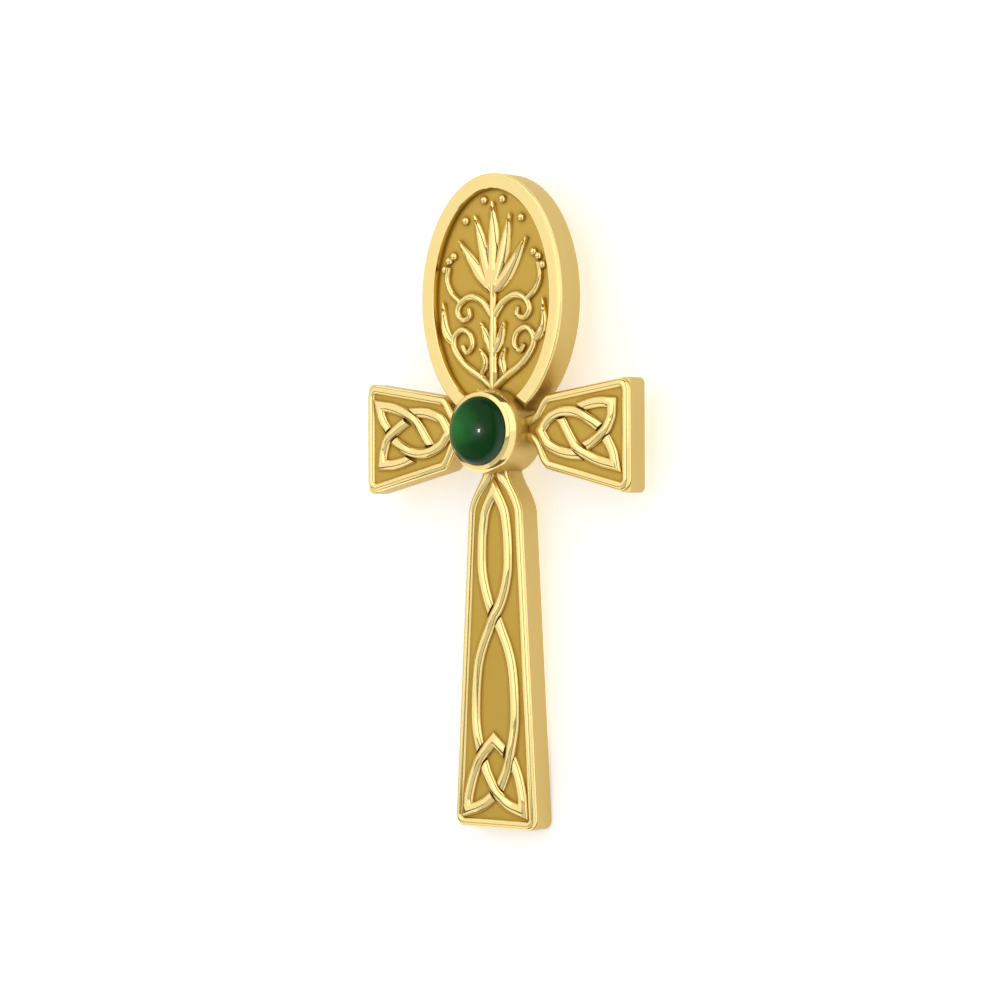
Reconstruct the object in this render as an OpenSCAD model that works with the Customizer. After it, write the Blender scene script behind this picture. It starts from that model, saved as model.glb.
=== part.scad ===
// Ankh pendant with a round cabochon at the crossing, knotwork borders on the
// arms and stem, a lotus relief in the oval loop and a plain bail on the back.
// It lies on its back, loop towards +Y, and rests on the bail and the stem's end.

/* [Plate] */
// Thickness of the arms and the stem at their outer edge
wall_t = 1.76; // [1.5:0.02:2.1]
// Thickness of the sunk field inside the borders
field_t = 1.92; // [1.8:0.02:2.2]
// Width of the half-round bead along the edges of the arms and the stem
bead_w = 0.7; // [0.56:0.02:0.84]
// Height of that bead above the outer edge
bead_rise = 0.36; // [0.26:0.02:0.5]
// Cut taken off each outer corner of the arms and the stem
corner_cut = 0.26; // [0.22:0.02:0.5]

/* [Loop] */
// Width of the oval loop
loop_w = 13.1; // [12:0.1:14.4]
// Height of the oval loop
loop_h = 18.4; // [17.4:0.1:19.6]
// Middle of the loop above the middle of the stone
loop_rise = 9.84; // [9.6:0.04:10.4]
// Thickness of the loop at its rim
rim_t = 2.42; // [2.3:0.02:2.8]
// Width of the rim
rim_w = 1.12; // [0.8:0.02:1.5]
// Bevel along the rim's outer edge
rim_bevel = 0.15; // [0.08:0.01:0.25]

/* [Arms] */
// Middle of the stone to the end of each arm
arm_reach = 12.28; // [11.2:0.04:13.6]
// Height of an arm's end above the middle of the stone
arm_end_up = 3.74; // [3.3:0.02:4.2]
// Depth of an arm's end below the middle of the stone
arm_end_down = 4.6; // [4.1:0.02:5]
// Middle of the stone to the shoulder of each arm
arm_root = 4.95; // [4.7:0.05:5.4]
// Height of that shoulder above the middle of the stone
root_up = 2.68; // [2.4:0.02:2.8]
// Depth of that shoulder below the middle of the stone
root_down = 2.88; // [2.6:0.02:3.1]
// Height of an arm's neck, between the middles of its two beads
neck_w = 1.44; // [1.2:0.04:1.7]

/* [Stem] */
// Middle of the stone to the lower end of the stem
stem_reach = 29.32; // [26:0.1:33]
// Width of the stem at its lower end
stem_end_w = 7.56; // [6.8:0.04:8.4]
// Width of the stem at its shoulders
stem_top_w = 5; // [4.6:0.04:5.6]
// Middle of the stone to the stem's shoulders
stem_shoulder = 5.95; // [5.6:0.05:6.6]
// Width of the stem's neck, between the middles of its two beads
stem_neck_w = 1.64; // [1.4:0.04:2]

/* [Knots] */
// Width of an interlaced strand
strand_w = 0.82; // [0.6:0.02:0.92]
// Height of a strand above the field
strand_rise = 0.28; // [0.18:0.02:0.4]
// Gap where one strand passes under another
cross_gap = 0.08; // [0.05:0.01:0.14]
// Height of the three-cornered knot on each arm, between the middles of its strands
knot_h = 4.6; // [4.1:0.05:5]
// Clear field between that knot and the bead at the arm's end
knot_margin = 0.48; // [0.45:0.01:0.8]

/* [Collar and stone] */
// Diameter of the collar
collar_d = 6.26; // [6.1:0.02:6.6]
// Height of the collar above the back
collar_h = 3.86; // [3.4:0.02:4.4]
// Width of the collar's rounded lip
lip_w = 0.5; // [0.3:0.02:0.54]
// Height of that rounding
lip_h = 0.56; // [0.3:0.02:0.8]
// Width of the moat that the collar cuts through the ends of the loop's rim
moat_w = 0.3; // [0.15:0.05:0.6]
// Diameter of the round stone
stone_d = 5; // [4.6:0.02:5.1]
// Height of the stone's dome above the collar
dome_h = 1.14; // [0.8:0.02:1.6]
// Depth of the stone's seat below the top of the collar
seat_d = 0.9; // [0.6:0.05:1.2]
// Gap between the stone and its setting
stone_gap = 0.04; // [0.02:0.01:0.06]

/* [Loop relief] */
// Width of the vines in the oval
vine_w = 0.58; // [0.44:0.02:0.7]
// Height of the relief above the field
vine_rise = 0.4; // [0.26:0.02:0.46]
// Greatest width of a lotus petal
petal_w = 1.25; // [1:0.05:1.5]
// Diameter of a berry
berry_d = 0.7; // [0.5:0.02:0.8]

/* [Bail] */
// Outer diameter of the bail's tube
bail_d = 2.2; // [1.8:0.05:2.6]
// Diameter of the hole that the chain runs through
bail_bore = 1.5; // [1.1:0.05:1.7]
// Length of the bail
bail_l = 4; // [3:0.1:6]
// Top of the loop down to the middle of the bail
bail_drop = 3.6; // [2.8:0.1:5]
// Gap between the bail's foot and the back
bail_gap = 0.05; // [0.03:0.01:0.1]

/* [Hidden] */
$fn = 96;

collar_r = collar_d / 2;
stone_r = stone_d / 2;
bead_in = bead_w / 2;
ledge = 0.01;
dip = 0.08;
tip_clear = strand_w * 0.92;
bail_r = bail_d / 2;
bail_y = loop_rise + loop_h / 2 - bail_drop;

// Oval of the loop and of its sunk field
field_a = loop_w / 2 - rim_w;
field_b = loop_h / 2 - rim_w;
oval_steps = 80;

// Lean that the bail gives the pendant as it lies on its back
rest_y = stem_reach + bail_y;
rest_z = bail_r + bail_gap;
lean = atan(rest_z / rest_y) + asin(bail_r / norm([rest_y, rest_z]));
top_y = loop_rise + loop_h / 2;
mid_y = ((top_y - stem_reach) * cos(lean) - wall_t * sin(lean)) / 2;
low_z = -stem_reach * sin(lean);

// Shoulder curve of the arms: share of the way out, share of the way across
ARM_SHOULDER = [[0, 0], [0.33, 0.2], [0.54, 0.48], [0.76, 0.8], [1, 1]];
// Shoulder curve of the stem: share of the way across, share of the way down
STEM_SHOULDER = [[0, 0], [0.25, 0.26], [0.51, 0.46], [0.76, 0.67], [0.92, 0.86], [1, 1]];
// Half-round section: share of the half width, share of the rise
SECTION = [[-1, 0], [-0.74, 0.7], [0, 1], [0.74, 0.7], [1, 0]];

// Arm knot, as shares of its length from the hub and of its half height.
// The places where one strand lies over another are given as a short line
// along the upper strand.
OVER_BACK = [[0.76, 0.33], [0.9, -0.09]];
OVER_FRONT = [[0.52, 0.31], [0.76, 0.83]];
OVER_LOW = [[0.48, -0.62], [0.24, -0.46]];
OVER_FOOT = [[0.73, -0.37], [0.48, -0.62]];
ARM_STRANDS = [
    [OVER_LOW, [[0.4, -0.06], [0.52, 0.31], [0.64, 0.64], [0.77, 0.84], [0.9, 0.97], [1, 0.99]],
     [[1, 0.99], [0.98, 0.63], [0.95, 0.43]], OVER_BACK],
    [OVER_BACK, [[0.8, -0.2], [0.72, -0.4], [0.61, -0.58], [0.48, -0.63], [0.35, -0.58],
                 [0.24, -0.46], [0.13, -0.28], [0, 0]],
     [[0, 0], [0.13, 0.3], [0.23, 0.49], [0.34, 0.62], [0.46, 0.66]], OVER_FRONT],
    [OVER_FRONT, [[0.71, 0.45], [0.77, 0.32], [0.84, 0.13], [0.9, -0.1], [0.94, -0.35],
                  [0.97, -0.65], [0.99, -0.99]],
     [[0.99, -0.99], [0.88, -0.97], [0.77, -0.9], [0.68, -0.82]], OVER_FOOT],
];

// Stem knot, as shares of the field's half width and of the knot's length
LONG = [[0.21, 0.433], [0.39, 0.476], [0.53, 0.525], [0.59, 0.571], [0.617, 0.634],
        [0.613, 0.697], [0.58, 0.74]];
EYE = [[0.38, 0.061], [0.48, 0.104], [0.53, 0.165], [0.517, 0.236], [0.45, 0.278], [0.34, 0.318]];
OVER_EYE = [[0.17, 0.36], [-0.17, 0.425]];
OVER_LEFT = [[-0.22, 0.799], [-0.52, 0.852]];
OVER_RIGHT = [[0.52, 0.78], [0.4, 0.843]];
OVER_CROSS = [[0.14, 0.949], [-0.06, 0.916]];
STEM_STRANDS = [
    [OVER_EYE, concat([[-0.2, 0.36]], mirrored(reversed(EYE)), [[0, 0]]),
     concat([[0, 0]], EYE, [[0.17, 0.36], [0, 0.39]], mirrored(LONG), [[-0.52, 0.775]]), OVER_LEFT],
    [OVER_EYE, concat([[0.1, 0.408]], LONG, [[0.52, 0.78]]),
     [[0.52, 0.78], [0.45, 0.822], [0.34, 0.864], [0.21, 0.9]], OVER_CROSS],
    [OVER_RIGHT, [[0.2, 0.8], [-0.03, 0.774]],
     [[-0.03, 0.774], [-0.22, 0.799], [-0.36, 0.82], [-0.52, 0.852], [-0.65, 0.893],
      [-0.73, 0.935], [-0.775, 0.97], [-0.79, 1]], [],
     [[-0.79, 1], [-0.47, 0.99], [-0.25, 0.974], [-0.13, 0.962]], OVER_CROSS],
    [OVER_RIGHT, [[0.58, 0.858], [0.66, 0.884], [0.73, 0.92], [0.775, 0.963], [0.79, 1]],
     [[0.79, 1], [0.4, 0.975], [0.14, 0.949], [-0.06, 0.916], [-0.22, 0.883], [-0.3, 0.86]],
     OVER_LEFT],
];

// Lotus relief on the right half of the oval, as shares of its half width and
// half height. Each vine has its points and the width at its two ends.
VINES = [
    [[[0.02, -0.82], [0.22, -0.72], [0.48, -0.61], [0.67, -0.46], [0.68, -0.35], [0.55, -0.28],
      [0.4, -0.33], [0.36, -0.43], [0.46, -0.49], [0.53, -0.43]], 1.15, 0.7],
    [[[0.02, -0.16], [0.17, -0.04], [0.38, 0.02], [0.56, -0.03], [0.62, -0.12], [0.53, -0.19],
      [0.41, -0.16], [0.42, -0.09]], 1.15, 0.7],
    [[[0.56, -0.03], [0.72, 0.06], [0.8, 0.18], [0.77, 0.3]], 0.9, 0.7],
];
// Leaves and petals: root, middle, tip, and greatest width as a share of a petal's
LEAVES = [
    [[0.02, 0.06], [0.16, 0.4], [0.3, 0.76], 1],
    [[0.02, 0.05], [0.28, 0.26], [0.58, 0.54], 0.95],
    [[0.02, -0.52], [0.12, -0.36], [0.2, -0.22], 0.7],
    [[0.67, -0.42], [0.84, -0.28], [0.86, -0.02], 0.7],
    [[0.2, -0.7], [0.14, -0.58], [0.22, -0.46], 0.6],
];
BERRIES = [[0.77, 0.36], [0.69, 0.4], [0.84, 0.28], [0.48, 0.72], [0.16, 0.9]];

function unit(v) = v / norm(v);
function left_of(v) = [-v[1], v[0]];
function reversed(list) = [for (i = [len(list) - 1 : -1 : 0]) list[i]];
function mirrored(list) = [for (p = list) [-p[0], p[1]]];
function mix(a, b, t) = a + (b - a) * t;
function along(path, i) = unit(path[i + 1] - path[i]);

// Sideways direction at point i of a path, lengthened at a corner so that the
// strip on both sides of the corner keeps its width
function sideways(path, i) =
    let(a = left_of(along(path, max(i - 1, 0))),
        b = left_of(along(path, min(i, len(path) - 2))))
    (a + b) / (1 + a * b);

function curve_point(a, b, c, d, t) =
    0.5 * (2 * b + (c - a) * t + (2 * a - 5 * b + 4 * c - d) * t * t
           + (3 * b - a - 3 * c + d) * t * t * t);
function curve(p, steps) = [
    for (i = [0 : len(p) - 2]) for (k = [0 : steps - 1])
        curve_point(p[max(i - 1, 0)], p[i], p[i + 1], p[min(i + 2, len(p) - 1)], k / steps),
    p[len(p) - 1]];

// Points of a leg that keep clear of its sharp tip
function clear_of(path, tip) = [for (p = path) if (norm(p - tip) > tip_clear) p];

// End of a path, slid along it to stop short of the strand that lies over it
function stop_at(path, over) =
    let(e = path[len(path) - 1], t = along(path, len(path) - 2),
        d = unit(over[1] - over[0]), m = left_of(d),
        away = sign((e - over[0]) * m),
        room = strand_w / 2 + cross_gap)
    e + t * ((away * room - (e - over[0]) * m) / (t * m));
function stopped(path, over) =
    len(over) == 0 ? path
    : concat([for (i = [0 : len(path) - 2]) path[i]], [stop_at(path, over)]);

// Sideways direction at an end that is cut parallel to the strand over it
function cut_end(path, i, over) =
    len(over) == 0 ? sideways(path, i)
    : let(d = over[1] - over[0]) d / (d * sideways(path, i));

// Raised half-round strip along a path on the field
module strip(path, widths, rise, base, over_a = [], over_b = []) {
    n = len(path);
    m = len(SECTION);
    sides = [for (i = [0 : n - 1])
        i == 0 ? cut_end(path, i, over_a) : i == n - 1 ? cut_end(path, i, over_b)
        : sideways(path, i)];
    points = [for (i = [0 : n - 1]) for (q = SECTION)
        let(s = path[i] + sides[i] * q[0] * widths[i] / 2)
        [s[0], s[1], base + (q[1] == 0 ? -dip : q[1] * rise)]];
    walls = [for (i = [0 : n - 2]) for (j = [0 : m - 1])
        let(a = i * m + j, b = i * m + (j + 1) % m)
        each [[a, b + m, a + m], [a, b, b + m]]];
    ends = [[for (j = [m - 1 : -1 : 0]) j], [for (j = [0 : m - 1]) (n - 1) * m + j]];
    polyhedron(points, concat(walls, ends), convexity = 6);
}

function even(path, w) = [for (p = path) w];

// Path of a bead round three sides of an arm, from hub to hub
neck_up = neck_w / 2 + 0.12;
neck_down = neck_w / 2 - 0.12;
neck_x = collar_r + bead_in;
inner_x = collar_r - 0.9;
end_x = arm_reach - bead_in;
function arm_side(root, end, neck) = concat(
    [[inner_x, neck * 0.8]],
    [for (s = ARM_SHOULDER) [mix(neck_x, arm_root, s[0]), mix(neck, root - bead_in, s[1])]],
    [[end_x - corner_cut, end - bead_in], [end_x, end - bead_in - corner_cut]]);
function arm_path() = concat(
    arm_side(root_up, arm_end_up, neck_up),
    reversed([for (p = arm_side(root_down, arm_end_down, neck_down)) [p[0], -p[1]]]));

// Path of the bead round the stem, from hub to hub
stem_x = stem_end_w / 2 - bead_in;
stem_y = stem_reach - bead_in;
stem_top_x = stem_top_w / 2 - bead_in;
stem_neck_y = collar_r + 0.1;
function stem_side() = concat(
    [[stem_neck_w / 2 * 0.85, collar_r - 0.9]],
    [for (s = STEM_SHOULDER) [mix(stem_neck_w / 2, stem_top_x, s[0]),
                              mix(stem_neck_y, stem_shoulder, s[1])]],
    [[stem_x, stem_y - corner_cut], [stem_x - corner_cut, stem_y]]);
function stem_path() = concat(
    [for (p = stem_side()) [p[0], -p[1]]],
    reversed([for (p = stem_side()) [-p[0], -p[1]]]));

// Outline that lies half a bead outside a bead's path
function widened(path, by) = [for (i = [0 : len(path) - 1]) path[i] + sideways(path, i) * by];

module oval(a, b) {
    translate([0, loop_rise])
        polygon([for (t = [0 : oval_steps - 1])
            [a * cos(360 * t / oval_steps), b * sin(360 * t / oval_steps)]]);
}

// Arms and stem: edge at one height, field at another, bead between them
module bordered(path) {
    linear_extrude(wall_t) polygon(widened(path, bead_in));
    linear_extrude(field_t) polygon(path);
    strip(path, even(path, bead_w - 2 * ledge), bead_rise, wall_t);
}

// The loop's outside: upright from the back, then bevelled up to the rim
module loop_blank() {
    rings = [[0, 0], [0, rim_t - rim_bevel], [rim_bevel, rim_t]];
    n = oval_steps;
    points = [for (r = rings) for (i = [0 : n - 1])
        [(loop_w / 2 - r[0]) * cos(360 * i / n),
         loop_rise + (loop_h / 2 - r[0]) * sin(360 * i / n), r[1]]];
    walls = [for (k = [0 : len(rings) - 2]) for (i = [0 : n - 1])
        let(a = k * n + i, b = k * n + (i + 1) % n) each [[a, a + n, b + n], [a, b + n, b]]];
    ends = [[for (i = [0 : n - 1]) i], [for (i = [n - 1 : -1 : 0]) (len(rings) - 1) * n + i]];
    polyhedron(points, concat(walls, ends), convexity = 4);
}

module loop() {
    difference() {
        loop_blank();
        translate([0, 0, field_t]) linear_extrude(rim_t) oval(field_a, field_b);
        translate([0, 0, field_t - ledge]) cylinder(h = rim_t, r = collar_r + moat_w);
    }
}

// Knot strand: a leg to a sharp tip, then further legs, each drawn as a curve
function leg(points) = curve(points, 2);
function strand(row) =
    let(first = leg(row[1]), second = leg(row[2]),
        tip = row[2][0],
        third = len(row) > 4 ? leg(row[4]) : [])
    concat(clear_of(first, tip), [tip],
           len(third) == 0 ? clear_of(second, tip)
           : concat([for (p = clear_of(second, tip)) if (norm(p - third[0]) > tip_clear) p],
                    [third[0]], clear_of(third, third[0])));
function over_end(row) = row[len(row) - 1];
function placed(row, place) = [for (cell = row) [for (p = cell) place(p)]];

module knot_strand(row) {
    raw = strand(row);
    back = reversed(stopped(reversed(raw), row[0]));
    path = stopped(back, over_end(row));
    strip(path, even(path, strand_w), strand_rise, field_t, row[0], over_end(row));
}

knot_in = collar_r + 0.82;
knot_out = arm_reach - bead_w - knot_margin;
module arm_knot(flip, drop) {
    for (row = ARM_STRANDS)
        knot_strand(placed(row, function(p)
            [mix(knot_in, knot_out, p[0]), flip * p[1] * knot_h / 2 - drop * p[0]]));
}

stem_knot_top = collar_r + 1.17;
stem_knot_end = stem_reach - bead_w - 0.42;
function field_half(y) = mix(stem_top_x, stem_x, (y - stem_shoulder) / (stem_y - stem_shoulder));
module stem_knot() {
    for (row = STEM_STRANDS)
        knot_strand(placed(row, function(p)
            let(y = mix(stem_knot_top, stem_knot_end, p[1])) [p[0] * field_half(y), -y]));
}

module arm(flip, drop) {
    bordered(arm_path());
    arm_knot(flip, drop);
}

// Lotus relief
function in_oval(p) = [p[0] * field_a, loop_rise + p[1] * field_b];
module vine(row) {
    path = curve([for (p = row[0]) in_oval(p)], 3);
    n = len(path) - 1;
    strip(path, [for (i = [0 : n]) vine_w * mix(row[1], row[2], i / n)], vine_rise * 0.9, field_t);
}
module leaf(row) {
    path = curve([for (i = [0 : 2]) in_oval(row[i])], 4);
    n = len(path) - 1;
    strip(path, [for (i = [0 : n]) petal_w * row[3] * (0.24 + 0.76 * sin(180 * pow(i / n, 0.8)))
                 - petal_w * row[3] * 0.1 * i / n], vine_rise * (0.75 + 0.2 * row[3]), field_t);
}
module berry(at) {
    translate([at[0], at[1], field_t]) hull() {
        sphere(d = berry_d, $fn = 12);
        translate([0, 0, berry_d * 0.32]) sphere(d = berry_d * 0.5, $fn = 12);
    }
}
module relief_half() {
    for (row = VINES) vine(row);
    for (row = LEAVES) leaf(row);
    for (b = BERRIES) berry(in_oval(b));
}
module lotus_relief() {
    stalk = [in_oval([0, -0.9]), in_oval([0, -0.4]), in_oval([0, 0.12])];
    strip(stalk, [vine_w * 1.5, vine_w * 1.3, vine_w], vine_rise, field_t);
    leaf([[0, 0.02], [0, 0.46], [0, 0.88], 1.08]);
    relief_half();
    mirror([1, 0, 0]) relief_half();
}

// Collar round the stone and the hub below it
module collar() {
    pocket_r = stone_r + stone_gap;
    lip = [for (t = [0 : 18 : 90])
        [collar_r - lip_w * (1 - cos(t)), collar_h - lip_h * (1 - sin(t))]];
    rotate_extrude($fn = 72) polygon(concat(
        [[0, 0], [collar_r, 0]], lip,
        [[pocket_r, collar_h], [pocket_r, collar_h - seat_d], [0, collar_h - seat_d]]));
}

module cabochon_shape() {
    foot = collar_h - seat_d + stone_gap;
    dome = [for (t = [0 : 7.5 : 90]) [stone_r * cos(t), collar_h + dome_h * sin(t)]];
    rotate_extrude() polygon(concat([[0, foot], [stone_r, foot]], dome));
}

module bail_shape() {
    translate([0, bail_y, -bail_gap - bail_r]) difference() {
        union() {
            rotate([0, 90, 0]) cylinder(h = bail_l, d = bail_d, center = true);
            translate([-bail_l / 2, -bail_r, 0]) cube([bail_l, bail_d, bail_r]);
        }
        rotate([0, 90, 0]) cylinder(h = bail_l * 2, d = bail_bore, center = true);
    }
}

// Lays the pendant down on its bail and the end of its stem
module lying() {
    translate([0, -mid_y, -low_z]) rotate([lean, 0, 0]) children();
}

module ankh_body() {
    color("gold") lying() union() {
        loop();
        arm(-1, 0.37);
        mirror([1, 0, 0]) arm(1, 0.15);
        bordered(stem_path());
        stem_knot();
        lotus_relief();
        collar();
    }
}

module cabochon() {
    color("darkgreen") lying() cabochon_shape();
}

module rear_bail() {
    color("goldenrod") lying() bail_shape();
}

ankh_body();
cabochon();
rear_bail();
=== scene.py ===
"""Looks of a gold ankh pendant with knotwork, a lotus relief and a green cabochon.

The pendant is drawn in its own millimetres, with the stone at the origin, the face
towards +Z and the loop towards +Y, and is then laid on its bail as the frame has it.
"""

from __future__ import annotations

import logging
import math
from dataclasses import dataclass, field
from enum import Enum
from typing import Any, Callable, Sequence

import bmesh
import bpy
import numpy as np
from mathutils import Matrix, Vector

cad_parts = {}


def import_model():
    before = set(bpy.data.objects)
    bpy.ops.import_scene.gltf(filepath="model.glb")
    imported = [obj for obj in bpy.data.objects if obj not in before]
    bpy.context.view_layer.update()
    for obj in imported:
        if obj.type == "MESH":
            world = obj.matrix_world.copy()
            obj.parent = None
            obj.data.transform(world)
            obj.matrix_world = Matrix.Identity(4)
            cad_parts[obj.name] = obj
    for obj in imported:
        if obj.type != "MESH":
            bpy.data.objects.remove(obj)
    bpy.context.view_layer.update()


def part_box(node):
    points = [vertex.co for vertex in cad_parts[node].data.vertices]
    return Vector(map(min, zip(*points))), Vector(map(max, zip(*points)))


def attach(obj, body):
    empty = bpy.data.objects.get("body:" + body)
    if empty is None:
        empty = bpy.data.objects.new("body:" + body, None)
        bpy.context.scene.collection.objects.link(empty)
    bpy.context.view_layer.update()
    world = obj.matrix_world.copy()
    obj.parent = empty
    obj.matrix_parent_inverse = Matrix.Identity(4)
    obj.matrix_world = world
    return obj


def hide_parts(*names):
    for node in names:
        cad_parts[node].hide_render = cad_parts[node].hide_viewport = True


MM = 0.001
STEM_REACH = 29.32
INSET = 0.005
SMOOTH_ANGLE = 32
TURNED_SIDES = 128
Path = np.ndarray
Point = tuple[float, float]
Points = Sequence[Point]
Colour = tuple[float, float, float, float]
Shape = bpy.types.Object
LOG = logging.getLogger("pendant")


class Part(Enum):
    """The pendant's pieces, by their names in the frame."""

    BODY = "ankh_body"
    STONE = "cabochon"
    BAIL = "rear_bail"


class Slot(Enum):
    """The record's material slots."""

    METAL = "metal"
    STONE = "stone"


class Join(Enum):
    """How one shape works on another."""

    FUSE = "UNION"
    CUT = "DIFFERENCE"


class Finish(Enum):
    """The body's finishes, by their place in its list of materials."""

    POLISHED = 0
    SATIN = 1
    # Brushed, with a darker base colour that paints the shade on upright sides.
    BRUSHED_SHADED = 2


@dataclass(frozen=True)
class RestPose:
    """How the pendant lies: on the end of its stem and on its bail.

    Args:
        bail_y: middle of the bail above the stone.
        bail_drop: middle of the bail behind the back.
        bail_r: outer radius of the bail.
        stem_reach: middle of the stone to the stem's lower end.
        top_reach: middle of the stone to the loop's top.
        edge: thickness of the stem at its end.
    """

    bail_y: float
    bail_drop: float
    bail_r: float = 1.1
    stem_reach: float = STEM_REACH
    top_reach: float = 19.04
    edge: float = 1.76

    def matrix(self) -> Matrix:
        """The matrix that leans, lifts and scales the pendant into the frame's metres."""
        run = self.stem_reach + self.bail_y
        tangent = math.asin(self.bail_r / math.hypot(run, self.bail_drop))
        lean = math.atan(self.bail_drop / run) + tangent
        reach = (self.top_reach - self.stem_reach) * math.cos(lean)
        mid_y = (reach - self.edge * math.sin(lean)) / 2
        lift = self.stem_reach * math.sin(lean)
        place = Matrix.Translation((0, -mid_y, lift)) @ Matrix.Rotation(lean, 4, "X")
        return Matrix.Scale(MM, 4) @ place


def unit(v: np.ndarray) -> np.ndarray:
    """A vector of length one."""
    return v / np.linalg.norm(v)


def left_of(v: np.ndarray) -> np.ndarray:
    """A vector turned a quarter to the left."""
    return np.array([-v[1], v[0]])


def mirrored(points: Points) -> list[Point]:
    """Points on the other side of the Y axis."""
    return [(-x, y) for x, y in points]


def blend(a: float, b: float, t: float) -> float:
    """The value at share t from a to b."""
    return a + (b - a) * t


def curve(points: Points, steps: int) -> Path:
    """A smooth line through points.

    Args:
        points: what the line passes through.
        steps: how many pieces each stretch gets.

    Returns:
        The points along the line.
    """
    p = np.array(points, float)
    out = []
    for i in range(len(p) - 1):
        a, b, c, d = p[max(i - 1, 0)], p[i], p[i + 1], p[min(i + 2, len(p) - 1)]
        for t in np.arange(steps) / steps:
            square, cube = 2 * a - 5 * b + 4 * c - d, 3 * b - a - 3 * c + d
            out.append(0.5 * (2 * b + (c - a) * t + square * t**2 + cube * t**3))
    return np.array(out + [p[-1]])


def along(path: Path, i: int) -> np.ndarray:
    """Direction of the stretch that starts at point i."""
    return unit(path[i + 1] - path[i])


def sideways(path: Path, i: int) -> np.ndarray:
    """Direction to the left at point i, lengthened at a corner to keep the width."""
    a = left_of(along(path, max(i - 1, 0)))
    b = left_of(along(path, min(i, len(path) - 2)))
    return (a + b) / (1 + a @ b)


def widened(path: Path, by: float) -> Path:
    """The line that runs beside a path, at a distance to its left."""
    return np.array([path[i] + sideways(path, i) * by for i in range(len(path))])


def rounded(corner: Point, before: Point, after: Point, radius: float, steps: int = 8) -> list[Point]:
    """Points of the arc that rounds a corner.

    Args:
        corner: the sharp corner.
        before: a point on the line that comes in.
        after: a point on the line that goes out.
        radius: the arc's radius.
        steps: how many pieces the arc has.

    Returns:
        The arc's points, from the first line to the second.
    """
    c, a, b = (np.array(v, float) for v in (corner, before, after))
    u, v = unit(a - c), unit(b - c)
    half = math.acos(float(np.clip(u @ v, -1, 1))) / 2
    middle = c + unit(u + v) * radius / math.sin(half)
    start, end = c + u * radius / math.tan(half), c + v * radius / math.tan(half)
    first = math.atan2(*(start - middle)[::-1])
    turn = math.atan2(*(end - middle)[::-1]) - first
    turn = (turn + math.pi) % (2 * math.pi) - math.pi
    angles = first + turn * np.arange(steps + 1) / steps
    return [tuple(middle + radius * np.array([math.cos(t), math.sin(t)])) for t in angles]


def placed(name: str, data: Any) -> Shape:
    """A new object in the scene."""
    obj = bpy.data.objects.new(name, data)
    bpy.context.scene.collection.objects.link(obj)
    return obj


class Workshop:
    """Makes closed shapes in the pendant's millimetres and fuses them."""

    @staticmethod
    def loft(rings: Sequence[np.ndarray]) -> Shape:
        """Skins a closed shape over rings.

        Args:
            rings: the rings from end to end, each with the same number of points.

        Returns:
            The object, with its faces outwards.
        """
        n = len(rings[0])
        mesh = bpy.data.meshes.new("form")
        faces = [
            (k * n + i, k * n + (i + 1) % n, (k + 1) * n + (i + 1) % n, (k + 1) * n + i)
            for k in range(len(rings) - 1)
            for i in range(n)
        ]
        last = (len(rings) - 1) * n
        faces += [tuple(range(n))[::-1], tuple(range(last, last + n))]
        mesh.from_pydata(np.concatenate(rings).tolist(), [], faces)
        work = bmesh.new()
        work.from_mesh(mesh)
        bmesh.ops.triangulate(work, faces=[f for f in work.faces if len(f.verts) > 4])
        bmesh.ops.recalc_face_normals(work, faces=work.faces)
        work.to_mesh(mesh)
        work.free()
        return placed("form", mesh)

    @classmethod
    def slab(cls, outline: Path, levels: Sequence[tuple[float, float]]) -> Shape:
        """A plate with a given outline.

        Args:
            outline: the points round the plate.
            levels: pairs of a step inwards and a height, from the bottom up.

        Returns:
            The plate.
        """
        closed = np.vstack([outline[-1:], outline, outline[:1]])
        ins = np.array([sideways(closed, i) for i in range(1, len(closed) - 1)])
        turn = np.sign(np.cross(outline, np.roll(outline, -1, 0)).sum())
        rings = [
            np.column_stack([outline + ins * step * turn, np.full(len(outline), z)])
            for step, z in levels
        ]
        return cls.loft(rings)

    @classmethod
    def lathe(cls, profile: Points, sides: int) -> Shape:
        """A turned shape on the Z axis, from pairs of radius and height."""
        angles = 2 * math.pi * np.arange(sides) / sides
        ring = np.column_stack([np.cos(angles), np.sin(angles)])
        return cls.loft([np.column_stack([ring * r, np.full(sides, z)]) for r, z in profile])

    @staticmethod
    def combine(base: Shape, others: Sequence[Shape], how: Join = Join.FUSE) -> Shape:
        """Fuses or cuts closed shapes.

        Args:
            base: the shape that is kept.
            others: the shapes fused to it or cut from it, which are used up.
            how: whether they are fused or cut.

        Returns:
            The base object with its new mesh.
        """
        for other in others:
            tool = base.modifiers.new("tool", "BOOLEAN")
            tool.operation, tool.solver, tool.object = how.value, "MANIFOLD", other
            graph = bpy.context.evaluated_depsgraph_get()
            mesh = bpy.data.meshes.new_from_object(base.evaluated_get(graph))
            base.modifiers.clear()
            old, base.data = base.data, mesh
            bpy.data.meshes.remove(old)
            bpy.data.objects.remove(other)
        return base


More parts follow.
